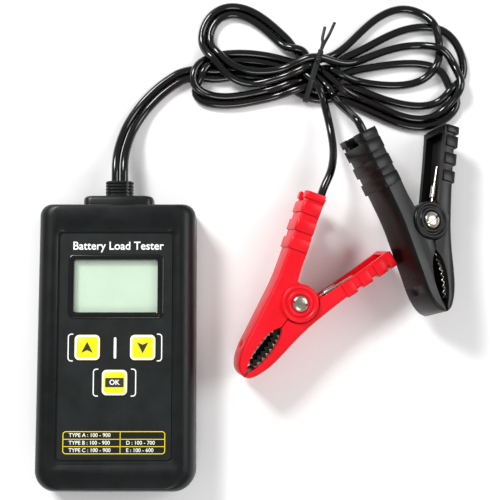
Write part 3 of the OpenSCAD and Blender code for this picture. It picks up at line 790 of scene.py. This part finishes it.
def white_printing():
    key_y, enter_y = KEYS["up_key"][1], KEYS["enter_key"][1]
    marks = [
        lettering("Battery Load Tester", 5, (0.8, 43.4), PANEL_TOP, width=39.5, weight=0.012),
        bracket(-20.5, key_y, 1), bracket(20.4, key_y, -1),
        bracket(-9.4, enter_y, 1), bracket(9.3, enter_y, -1),
        prism("bar", box_outline(1.1, 9.2, 0.5, (0, key_y - 0.2)), PANEL_TOP, PANEL_TOP + INK)
    ]
    rows = [("TYPE A : 100 - 900", -19.4, -38.4), ("TYPE B : 100 - 900", -19.4, -41.65),
        ("TYPE C : 100 - 900", -19.4, -44.8), ("D : 100 - 700", 5.2, -41.65), ("E : 100 - 600", 5.2, -44.8)]
    marks += [lettering(text, 2.3, (x, y), PANEL_TOP, weight=0.006, side="LEFT") for text, x, y in rows]
    return keep(join(marks), white_ink)


def yellow_printing():
    """The ruled table: two columns of three rows."""
    top, low, left, right, column = -36.7, -46.4, -22, 22, 2.7
    marks = [ring(right - left, top - low, 1.4, 0.3, ((left + right) / 2, (top + low) / 2))]
    for y in (-40.1, -43.2):
        marks.append(bar(left + 0.2, right - 0.2, y - 0.13, y + 0.13))
    marks.append(bar(column - 0.13, column + 0.13, low + 0.2, top - 0.2))
    return keep(join(marks), yellow_ink)


def key_cap(name, at):
    side = KEY_SIDE / 2
    cap = raised_block(name + "_cap", box_outline(KEY_SIDE, KEY_SIDE, 2, at),
        [(19.7, side + 1.2, side + 1.2), (20.5, side + 1.2, side + 1.2), (20.5, side, side),
            (23.72, side, side), (KEY_TOP, side - 0.06, side - 0.06)])
    combine(cap, drill(1.6, 19.1, 20, at, 24), "UNION")
    return keep(cap, key_rubber, body=name, stands_for=[name], angle=60)


def key_marks():
    """White borders on all three keys, arrowheads on two and a dark label on the enter key."""
    for name, at in KEYS.items():
        border = ring(KEY_SIDE - 0.12, KEY_SIDE - 0.12, 1.9, 0.85, at, KEY_TOP)
        keep(border, white_ink, body=name)
    for name, way in (("up_key", 1), ("down_key", -1)):
        x, y = KEYS[name]
        arrow = prism(name + "_arrow", [(x, y + way * 2.5), (x - 2.5, y - way * 2.3),
            (x, y - way * 1.2), (x + 2.5, y - way * 2.3)][::way], KEY_TOP, KEY_TOP + INK)
        keep(arrow, dark_ink, body=name)
    x, y = KEYS["enter_key"]
    label = prism("enter_label", box_outline(8, 4, 0.4, (x, y)), KEY_TOP, KEY_TOP + INK)
    keep(label, dark_ink, body="enter_key")
    keep(lettering("OK", 3, (x, y), KEY_TOP + INK), white_ink, body="enter_key")


# ---------------------------------------------------------------- cable boot

def cable_boot():
    """Modelled standing on the case's end: across, through and outwards."""
    flange = raised_block("boot", box_outline(31, 13, 3.6, segments=6),
        [(0.05, 15.5, 6.5), (2.6, 15.5, 6.5), (3.3, 15.3, 6.35), (3.8, 14.9, 6.05), (4.1, 14.3, 5.7),
            (4.2, 13.6, 5.3)])
    ribs = [(3.8, 6.2, 4.3)]
    for k in range(4):
        start = 4.4 + 0.9 + k * 1.45
        ribs += [(start - 0.1, 6.2, 4.3), (start, 6.1, 4.2), (start + 0.05, 5.5, 3.6),
            (start + 0.5, 5.5, 3.6), (start + 0.55, 6.1, 4.2), (start + 0.65, 6.2, 4.3)]
    ribs += [(10.9, 6.2, 4.3), (11.2, 5.9, 4.0)]
    combine(flange, raised_block("stub", box_outline(12.4, 8.6, 3.8, segments=6), ribs), "UNION")
    combine(flange, raised_block("neck", box_outline(20.4, 8.4, 2.9), [(-3, 10.2, 4.2), (1, 10.2, 4.2)]),
        "UNION")
    combine(flange, raised_block("inner", box_outline(26, 11.4, 2.4), [(-4.7, 13, 5.7), (-2.3, 13, 5.7)]),
        "UNION")
    place = Matrix(((1, 0, 0, 0), (0, 0, 1, CASE_L / 2), (0, -1, 0, PARTING), (0, 0, 0, 1)))
    return keep(flange, boot_pvc, stands_for=["cable_boot"], place=place, angle=30)


front_shell()
rear_shell()
front_overlay()
display_frame()
white_printing()
yellow_printing()
for key_name, key_place in KEYS.items():
    key_cap(key_name, key_place)
key_marks()
boot = cable_boot()


# ---------------------------------------------------------------- clamps

# Outlines of the two halves with their backs towards +X, the pivot at the origin, jaws towards -Y
LEAD_BACK = [(0.4, -40), (3.2, -38.8), (6, -35), (8.1, -29), (9.4, -22), (11, -14), (12.5, -6),
    (14.2, 2), (16.6, 10), (19.4, 18.5), (22.4, 27), (25, 34.6), (26.4, 39.2)]
LEAD_END = [(26.3, 40.8), (25, 41.8), (19.8, 43.4), (18.4, 42.4)]
LEAD_INSIDE = [(17.6, 38.4), (16, 33.5), (13.9, 27), (11.2, 20), (9, 13), (6.6, 7)]
FREE_BACK = [(0.4, -40), (2.8, -38.8), (5, -35), (6.9, -29), (7.9, -22), (8.7, -14), (9.9, -6),
    (11.5, 1), (13.4, 8.5), (15.9, 17.5), (18.6, 27), (21.2, 35), (22.5, 39.6)]
FREE_END = [(22.4, 41), (21.4, 41.9), (18.2, 42.9), (17, 42)]
FREE_INSIDE = [(16.4, 39.6), (14.6, 33.6), (12.6, 27), (10.2, 19.6), (8, 12.6), (6, 7)]
MOUTH = [(0.2, -13), (2, -16), (3.1, -20), (3.4, -25), (3, -30), (1.8, -35), (0.2, -38.6)]
EAR_WEB = [(6, -9), (8.6, -11), (9.6, -6), (11.1, 1), (12.5, 6), (7.5, 9.4), (3, 7.6), (3, -7.6)]
CLAMP_INNER, CLAMP_WALL = 6.8, 2.2
EAR_R, CLEAR_R, PIN_R = 8.5, 8.9, 2.5
HANDLE_TURN = math.radians(18.6)
RIB_PITCH = 8.2
# Raised bands along a handle, the last one at its end: place in pitches, length
HANDLE_BANDS = [(0, 5), (1, 5), (2, 5), (2.68, 3.2)]
EDGE_STEPS = [(-9, 1.3), (-8.88, 0.75), (-8.5, 0.3), (-7.7, 0), (7.7, 0), (8.5, 0.3), (8.88, 0.75), (9, 1.3)]


def loft(name, rings):
    """A closed solid through rings of as many points each, from the lowest to the highest."""
    count = len(rings[0])
    faces = [range(count)[::-1], range(count * (len(rings) - 1), count * len(rings))]
    for k in range(len(rings) - 1):
        for i in range(count):
            j = (i + 1) % count
            faces.append((k * count + i, k * count + j, (k + 1) * count + j, (k + 1) * count + i))
    mesh = bpy.data.meshes.new(name)
    mesh.from_pydata([point for ring in rings for point in ring], [], faces)
    piece = bpy.data.objects.new(name, mesh)
    bpy.context.scene.collection.objects.link(piece)
    return piece


def grip_body(name, back, end, inside):
    """A channel between two face plates, its back edges rounded as moulded."""
    rear = [tuple(p) for p in smooth(back, 3)]
    front = [tuple(p) for p in smooth(inside, 3)] + [(0.2, 7)] + [tuple(p) for p in smooth(MOUTH, 3)[:-1]]
    outline = rear + end + front
    rounded = len(rear) + len(end) - 1
    rings = []
    for height, inset in EDGE_STEPS:
        ring = []
        for i, (x, y) in enumerate(outline):
            before, after = outline[i - 1], outline[(i + 1) % len(outline)]
            along = Vector((after[0] - before[0], after[1] - before[1])).normalized()
            depth = inset * min(1, i / 3) if i < rounded else 0
            ring.append((x - along.y * depth, y + along.x * depth, height))
        rings.append(ring)
    grip = loft(name, rings)
    channel = [(p[0] - CLAMP_WALL, p[1]) for p in rear if p[1] > -36]
    channel += [(end[1][0] - 1.8, end[1][1] - 2.4), (14, end[1][1] - CLAMP_WALL), (-2, 30), (-2, -39)]
    combine(grip, prism("channel", channel, -CLAMP_INNER, CLAMP_INNER))
    return grip


def grip_band(first, width, step, length=5):
    """A raised band across both faces and the back of a handle, proudest on the upper face."""
    middle = Vector((first[0], first[1], 0)) + step * RIB_PITCH * Vector(
        (math.sin(HANDLE_TURN), math.cos(HANDLE_TURN), 0))
    band = block("band", (-width, -length / 2, -9.5), (0.85, length / 2, 9.85))
    with editing(band):
        pick(band, "EDGE", lambda place, way: abs(way.y) > 0.9 and place.x > 0)
        bpy.ops.mesh.bevel(offset=1.4, segments=3, affect="EDGES")
    combine(band, block("space", (-width - 1, -length, -8.9), (-0.4, length, 8.9)))
    soften(band, 0.22, 2, 40)
    band.matrix_world = Matrix.Translation(middle) @ Matrix.Rotation(-HANDLE_TURN, 4, "Z")
    activate(band)
    bpy.ops.object.transform_apply()
    return band


def boss():
    """The round boss at the pivot: a rounded rim, a groove, an inner ring and a seat for the pin."""
    profile = [(PIN_R, 6.8), (EAR_R, 6.8), (EAR_R, 9.4), (8.4, 9.9), (8.1, 10.3), (7.6, 10.55), (7.0, 10.5),
        (6.6, 10.2), (6.3, 9.9), (5.9, 9.9), (5.7, 10.3), (5.3, 10.6), (4.8, 10.7), (4.3, 10.5),
        (4.0, 10.2), (3.8, 10.0), (PIN_R, 10.0), (PIN_R, 6.8)]
    return lathe("boss", profile, 56)


def lead_grip(name):
    grip = grip_body(name, LEAD_BACK, LEAD_END, LEAD_INSIDE)
    for step, length in HANDLE_BANDS:
        combine(grip, grip_band((19.5, 18.8), 8, step, length), "UNION")
    mirror_x(grip)
    combine(grip, drill(CLEAR_R, -CLAMP_INNER, CLAMP_INNER, sides=64))
    combine(grip, drill(EAR_R - 0.2, -12, 12, sides=64))
    for way in (1, -1):
        ear = boss()
        if way < 0:
            ear.matrix_world = Matrix.Rotation(math.pi, 4, "X")
            activate(ear)
            bpy.ops.object.transform_apply()
        combine(grip, ear, "UNION")
    combine(grip, block("notch", (-30, 36.5, -4), (-17.2, 46.5, 4)))
    # A dimple in the back of the jaw, and the ring left by an ejector pin behind it
    bpy.ops.mesh.primitive_uv_sphere_add(segments=48, ring_count=32, radius=3.6, location=(-10.9, -30, 0))
    combine(grip, bpy.context.object)
    bpy.ops.mesh.primitive_torus_add(major_radius=1.9, minor_radius=0.16, major_segments=40,
        minor_segments=8, location=(-9.35, -22.5, 0), rotation=(0, math.radians(90), math.radians(-9)))
    combine(grip, bpy.context.object)
    soften(grip, 0.18, 2, 40)
    return grip


def mirror_x(piece):
    activate(piece)
    piece.scale = (-1, 1, 1)
    bpy.ops.object.transform_apply()
    with editing(piece):
        bpy.ops.mesh.select_all(action="SELECT")
        bpy.ops.mesh.normals_make_consistent(inside=False)


def free_grip(name):
    grip = grip_body(name, FREE_BACK, FREE_END, FREE_INSIDE)
    for step, length in HANDLE_BANDS:
        combine(grip, grip_band((16, 18), 5.4, step, length), "UNION")
    combine(grip, drill(CLEAR_R, -12, 12, sides=64))
    for way in (1, -1):
        low, high = sorted((way * 4.3, way * 6.5))
        ear = drill(EAR_R, low, high, sides=64)
        combine(ear, prism("web", EAR_WEB, low, high), "UNION")
        low, high = sorted((way * 6.3, way * 7.0))
        step = prism("step", EAR_WEB[:6], low, high)
        combine(step, drill(CLEAR_R, -12, 12, sides=64))
        combine(ear, step, "UNION")
        combine(grip, ear, "UNION")
    combine(grip, drill(PIN_R + 0.05, -9, 9))
    combine(grip, drill(CLEAR_R, -4.3, 4.3, sides=64))
    soften(grip, 0.18, 2, 40)
    return grip


def toothed_plate(name):
    """Two rows of stamped teeth along the back of the mouth."""
    inner = [p + Vector((0.15, 0)) for p in smooth(MOUTH, 4) if p.y > -34]
    teeth = [p - Vector((1.7 if i % 2 and p.x > 2.1 else 0.2, 0)) for i, p in enumerate(inner)]
    outer = [p + Vector((1.2, 0)) for p in inner]
    rows = [prism(name, teeth + outer[::-1], low, high) for low, high in ((-6.3, -5.5), (5.5, 6.3))]
    plate = join(rows)
    soften(plate, 0.07, 1, 40)
    return plate


def jaw_shade_liner(name):
    """The strip that holds the teeth, with a plate across the lower side of the mouth. The strip is real; its
    near-black colour and the plate are painted shade for the shadow inside the mouth.
    """
    back = [p + Vector((1.35, 0)) for p in smooth(MOUTH, 4) if p.y > -35]
    liner = prism(name, [p - Vector((0.8, 0)) for p in back] + back[::-1], -6.2, 6.2)
    edge = [(max(p.x, 1), p.y) for p in back]
    combine(liner, prism("plate", [(0.15, edge[0][1])] + edge + [(0.15, edge[-1][1])], -6.7, -6.1), "UNION")
    return liner


def pivot_pin(name):
    """A shouldered pin with a domed, slotted head at each end."""
    head = [(0, -11.6), (2.2, -11.5), (3.1, -11.2), (3.5, -10.8), (3.5, -10.1), (PIN_R - 0.02, -10.1)]
    pin = lathe(name, head + [(r, -z) for r, z in reversed(head)], 40)
    for way in (1, -1):
        slot = block("slot", (-4, -0.45, 0), (4, 0.45, 2))
        slot.matrix_world = Matrix.Translation((0, 0, 9.9 if way > 0 else -11.9)) @ Matrix.Rotation(
            math.radians(25), 4, "Z")
        combine(pin, slot)
    soften(pin, 0.08, 1, 40)
    return pin


def coil_spring(name):
    """Five turns round the pin and the leg that presses on the lead half."""
    turns, radius, rise = 5, 4.2, 1.33
    points = [(-16.6, 28, -3.3), (-12, 19, -3.3), (-7.4, 9.6, -3.3), (-4.6, 3.4, -3.3)]
    for k in range(turns * 20 + 1):
        angle = math.radians(170) + math.tau * k / 20
        points.append((radius * math.cos(angle), radius * math.sin(angle), -3.3 + rise * k / 20))
    return cable_end(name, points, 0.7, 3)


def spring_leg(name):
    """The leg that presses on the free half, with its bent end and its sleeve."""
    leg = cable_end(name, [(5.2, 6.2, 3.3), (6, 8, 3.3), (12.2, 23.6, 3.3), (12.6, 24.4, 3.3)], 0.7, 3)
    profile = [(0.75, 0), (1.5, 0), (1.55, 0.3), (1.55, 5.2), (1.5, 5.5), (0.75, 5.5), (0.75, 0)]
    sleeve = lathe("sleeve", profile, 24)
    sleeve.matrix_world = Matrix.Translation((7.2, 10.6, 3.3)) @ Matrix.Rotation(
        math.radians(-21.7), 4, "Z") @ Matrix.Rotation(-math.pi / 2, 4, "X")
    activate(sleeve)
    bpy.ops.object.transform_apply()
    return join([leg, sleeve])


def crimp(name):
    """The barrel pressed on the end of the lead."""
    barrel = lathe(name, [(2.0, 0), (2.35, 0), (2.45, 0.2), (2.45, 3), (2.3, 3.4), (2.3, 5.2), (2.45, 5.6),
        (2.45, 8.4), (2.35, 8.6), (2.08, 8.6), (2.08, 1), (2.0, 0)], 28)
    barrel.matrix_world = Matrix.Translation((-11, 17, 0)) @ Matrix.Rotation(
        HANDLE_TURN, 4, "Z") @ Matrix.Rotation(-math.pi / 2, 4, "X")
    activate(barrel)
    bpy.ops.object.transform_apply()
    return barrel


def clamp_place(joint_name):
    """From a clamp's own frame to the whole object's, from its joint."""
    joint = next(j for j in frame["record"]["behaviour"]["joints"] if j["name"] == joint_name)
    axis = Vector(joint["axis"]).normalized()
    lean, heading = math.acos(axis.z), math.atan2(axis.y, axis.x)
    return (Matrix.Translation(Vector(joint["pos_m"]) / MM) @ Matrix.Rotation(heading, 4, "Z")
        @ Matrix.Rotation(lean, 4, "Y"))


def clamp(colour, plastic):
    place = clamp_place(colour + "_jaw_open")
    free = colour + "_free_half"
    made = [
        keep(lead_grip(colour + "_lead_handle"), plastic, "root", [colour + "_lead_grip"], place),
        keep(free_grip(colour + "_free_handle"), plastic, free, [colour + "_free_grip"], place)
    ]
    for half, body in (("lead", "root"), ("free", free)):
        teeth, liner = toothed_plate(f"{colour}_{half}_teeth"), jaw_shade_liner(f"{colour}_{half}_liner")
        if half == "lead":
            mirror_x(teeth)
            mirror_x(liner)
        made.append(keep(teeth, nickel, body, [f"{colour}_{half}_jaw"], place))
        # The liner's near-black steel is painted shade inside the mouth
        made.append(keep(liner, mouth_shade_dark_steel, body, (), place))
    for make, part, body in ((pivot_pin, "pivot_pin", "root"), (coil_spring, "spring", "root"),
            (spring_leg, "spring_leg", free), (crimp, "crimp", "root")):
        piece = make(colour + "_" + part + "_made")
        made.append(keep(piece, nickel, body, [colour + "_" + part], place))
    return made


red_clamp = clamp("red", red_plastic)
black_clamp = clamp("black", black_plastic)


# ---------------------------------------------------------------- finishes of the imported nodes

def dress(names, material):
    for name in names:
        node = frame["nodes"][name]
        node = node if hasattr(node, "material_slots") else bpy.data.objects[name]
        node.data.materials.clear()
        node.data.materials.append(material)


dress(["lcd_window"], clear_acrylic())
dress(["lcd_module"], liquid_crystal_glass())
dress(["zebra_strips"], silicone_rubber("contact_rubber", ("#B87C7C", "#C88C8C")))
dress(["circuit_board"], solder_mask())
dress(["tact_switches", "controller_chip", "load_transistor"],
    epoxy_resin("package_resin", ("#141414", "#1C1C1C")))
dress(["load_resistors"], fired_ceramic())
dress(["capacitors"], epoxy_resin("capacitor_sleeve", ("#24315C", "#2B3A66")))
dress(["board_screws", "case_screws"], zinc_plated_steel())
dress(["board_wires"], tinned_copper())


# ---------------------------------------------------------------- floor and light

# Each soft light: name, place in metres, watts, side
LIGHTS = [
    ("key", (-0.75, 1, 1.15), 25, 0.5), ("fill", (1.2, 0.3, 1), 9, 0.7),
    ("front", (0.1, -1.2, 1.2), 9, 0.7)
]
LIGHT_TARGET = Vector((0.06, 0.05, 0))
ROOM_LIGHT = 0.36
FLOOR_SIDE = 6


def studio():
    bpy.ops.object.select_all(action="DESELECT")
    bpy.ops.mesh.primitive_plane_add(size=FLOOR_SIDE, location=(0, 0, 0))
    floor = bpy.context.object
    floor.name = "floor"
    floor.data.materials.append(plain_paper_floor())
    world = bpy.data.worlds.new("studio")
    bpy.context.scene.world = world
    world.use_nodes = True
    background = world.node_tree.nodes["Background"]
    background.inputs["Color"].default_value = (1, 1, 1, 1)
    background.inputs["Strength"].default_value = ROOM_LIGHT
    bpy.context.scene.view_settings.view_transform = "Standard"
    for name, place, energy, size in LIGHTS:
        data = bpy.data.lights.new(name, "AREA")
        data.energy, data.size = energy, size
        light = bpy.data.objects.new(name, data)
        light.location = place
        light.rotation_euler = (LIGHT_TARGET - Vector(place)).to_track_quat("-Z", "Y").to_euler()
        bpy.context.scene.collection.objects.link(light)


studio()
